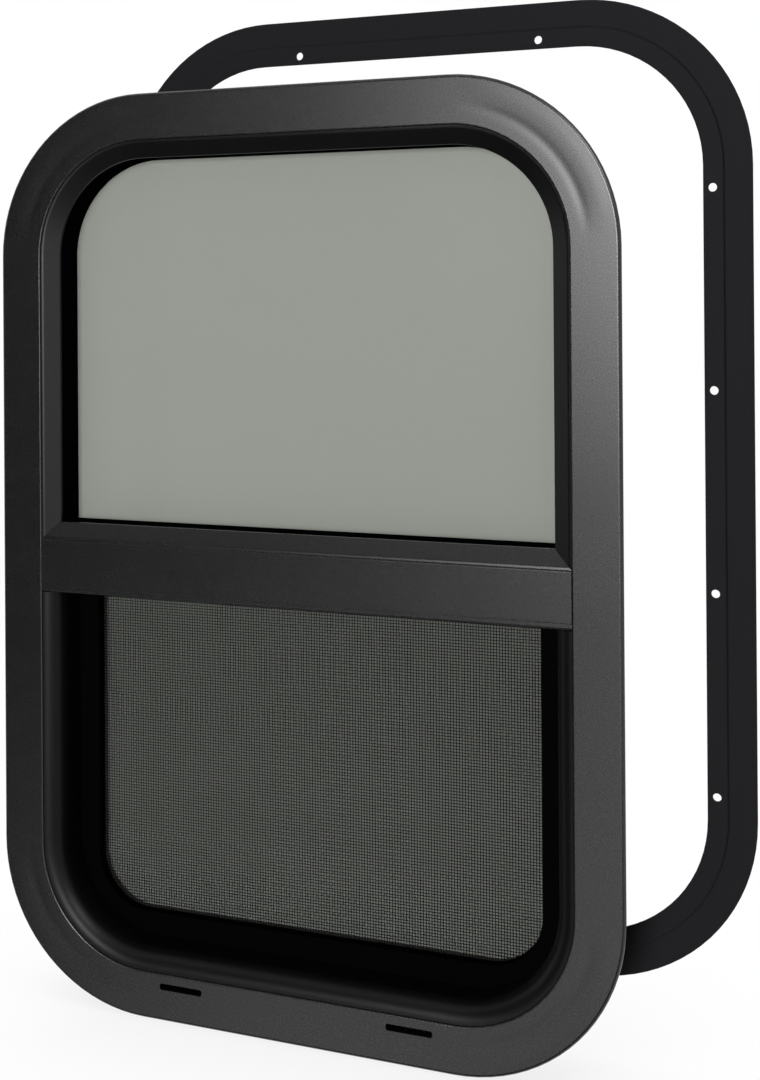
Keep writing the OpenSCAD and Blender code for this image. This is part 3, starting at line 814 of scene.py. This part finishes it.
class WINDOW_OT_stage(bpy.types.Operator):
    """Sets the floor, the backdrop, the lights and the camera"""

    bl_idname = "window.stage"
    bl_label = "Set the stage"

    # Where the camera stands and how it is turned, in metres and radians
    EYE = (0.3747, -0.8254, 0.4429)
    YAW, PITCH, ROLL = 0.3651, -0.003, -0.0067
    # Degrees across and up, tightness and strength of each patch in the dark half of the studio
    SOFTBOXES = ((-1, 8, 76, 33.0), (-3, -20, 90, 3.4), (-22, 52, 90, 1.4), (-24, -28, 90, 2.0),
                 (27, -8, 60, 3.1), (-70, 2, 60, 1.2), (38, 36, 45, 12.0))

    def execute(self, context):
        scene = context.scene
        scene.view_settings.view_transform = "Standard"
        self.camera(scene)
        self.floor(scene)
        self.sky(scene)
        self.lamps(scene)
        return {"FINISHED"}

    def camera(self, scene):
        data = bpy.data.cameras.new("view")
        data.lens = 50.0
        data.sensor_width = 36.0
        data.shift_y = -0.230
        data.clip_start, data.clip_end = 0.01, 50
        camera = bpy.data.objects.new("view", data)
        level = math.cos(self.PITCH)
        ahead = Vector((-math.sin(self.YAW) * level, math.cos(self.YAW) * level, -math.sin(self.PITCH)))
        side = Vector((math.cos(self.YAW), math.sin(self.YAW), 0))
        above = side.cross(ahead)
        right = math.cos(self.ROLL) * side + math.sin(self.ROLL) * above
        up = math.cos(self.ROLL) * above - math.sin(self.ROLL) * side
        turn = Matrix((right, up, -ahead)).transposed().to_4x4()
        camera.matrix_world = Matrix.Translation(self.EYE) @ turn
        scene.collection.objects.link(camera)
        scene.camera = camera

    def floor(self, scene):
        """A wide pale floor that the camera sees as white, but for the object's soft shadow."""
        mesh = bpy.data.meshes.new("floor")
        half, level = 30.0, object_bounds()[0].z - 0.0005
        corners = [(x * half, y * half, level) for x, y in ((-1, -1), (1, -1), (1, 1), (-1, 1))]
        mesh.from_pydata(corners, [], [(0, 1, 2, 3)])
        floor = bpy.data.objects.new("floor", mesh)
        scene.collection.objects.link(floor)
        made, sheet = new_material("floor paper")
        rays = sheet.outputs(sheet.node("ShaderNodeLightPath"))
        paper = sheet.noise(sheet.place(), scale=30.0, detail=3.0)
        tone = sheet.mix(paper, (0.80, 0.80, 0.80, 1), (0.83, 0.83, 0.83, 1))
        matt = sheet.node("ShaderNodeBsdfDiffuse", {}, {"Color": tone})
        shade = sheet.node("ShaderNodeAmbientOcclusion", {"samples": 16}, {"Distance": 0.22}, output=1)
        white = sheet.node("ShaderNodeEmission", {}, {
            "Color": (1, 1, 1, 1), "Strength": shade.ramp(0.3, 1.0, 0.86, 1.0)})
        seen = (rays["Is Camera Ray"] + rays["Is Transmission Ray"]).clamped()
        glow = sheet.node("ShaderNodeMixShader", {}, {0: seen, 1: matt, 2: white})
        clear = sheet.node("ShaderNodeBsdfTransparent")
        sheet.show(sheet.node("ShaderNodeMixShader", {}, {0: rays["Is Glossy Ray"], 1: glow, 2: clear}))
        mesh.materials.append(made)
        floor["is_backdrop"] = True

    def facing(self, sheet, way, across, height):
        """How nearly a ray goes towards a place in the studio, given in degrees across and up."""
        turn, rise = math.radians(across), math.radians(height)
        middle = (math.sin(turn) * math.cos(rise), -math.cos(turn) * math.cos(rise), math.sin(rise))
        return sheet.node("ShaderNodeVectorMath", {"operation": "DOT_PRODUCT"}, {0: way, 1: middle}, output=1)

    def sky(self, scene):
        """White for the camera, dark with soft patches where the front is mirrored, dim for plain light."""
        world = bpy.data.worlds.new("studio")
        scene.world = world
        sheet = Sheet(world)
        rays = sheet.outputs(sheet.node("ShaderNodeLightPath"))
        way = sheet.node("ShaderNodeTexCoord")
        ambient = 0.22
        mirrored = self.facing(sheet, way, -15, -12).ramp(0.30, 0.68, 1.0, 0.0)
        for across, height, tightness, strength in self.SOFTBOXES:
            near = (self.facing(sheet, way, across, height) - 1) * tightness
            mirrored = mirrored + near.maths("EXPONENT") * strength
        seen = (rays["Is Camera Ray"] + rays["Is Transmission Ray"]).clamped()
        glossy = rays["Is Glossy Ray"]
        level = seen + (1 - seen) * (glossy * mirrored + (1 - glossy) * ambient)
        sheet.show(sheet.node("ShaderNodeBackground", {}, {"Color": (1, 1, 1, 1), "Strength": level}))

    def lamp(self, scene, name, place, aim, size, power):
        """A square panel that lights the window and isn't mirrored in it."""
        data = bpy.data.lights.new(name, "AREA")
        data.shape = "RECTANGLE"
        data.size, data.size_y = size, size
        data.energy = power
        lamp = bpy.data.objects.new(name, data)
        lamp.location = place
        lamp.rotation_mode = "QUATERNION"
        lamp.rotation_quaternion = (Vector(aim) - Vector(place)).to_track_quat("-Z", "Y")
        lamp.visible_glossy = False
        scene.collection.objects.link(lamp)

    def lamps(self, scene):
        self.lamp(scene, "front panel", (-0.05, -4.0, 0.30), (0, 0, 0.30), 1.4, 176)
        self.lamp(scene, "rear fill", (-0.4, 2.4, 0.9), (0, 0, 0.28), 1.5, 55)


class WINDOW_PT_panel(bpy.types.Panel):
    """Lists the window's steps and settings"""

    bl_idname = "WINDOW_PT_panel"
    bl_label = "Caravan window"
    bl_space_type = "VIEW_3D"
    bl_region_type = "UI"
    bl_category = "Window"

    def draw(self, context):
        column = self.layout.column()
        for step in STEPS:
            column.operator(step.bl_idname)
        for group in (context.scene.window_colours, context.scene.window_sizes):
            for key in group.bl_rna.properties.keys():
                if key not in {"rna_type", "name"}:
                    column.prop(group, key)


STEPS = (WINDOW_OT_coats, WINDOW_OT_mesh, WINDOW_OT_screws, WINDOW_OT_grips, WINDOW_OT_joint, WINDOW_OT_pile,
         WINDOW_OT_stage)
CLASSES = (WindowColours, WindowSizes, *STEPS, WINDOW_PT_panel)


def register():
    for kind in CLASSES:
        bpy.utils.register_class(kind)
    bpy.types.Scene.window_colours = bpy.props.PointerProperty(type=WindowColours)
    bpy.types.Scene.window_sizes = bpy.props.PointerProperty(type=WindowSizes)


def unregister():
    del bpy.types.Scene.window_sizes
    del bpy.types.Scene.window_colours
    for kind in reversed(CLASSES):
        bpy.utils.unregister_class(kind)


def main():
    register()
    bpy.ops.window.coats()
    bpy.ops.window.mesh()
    bpy.ops.window.screws()
    bpy.ops.window.grips()
    bpy.ops.window.joint()
    bpy.ops.window.pile()
    bpy.ops.window.stage()


if __name__ == "__main__":
    main()
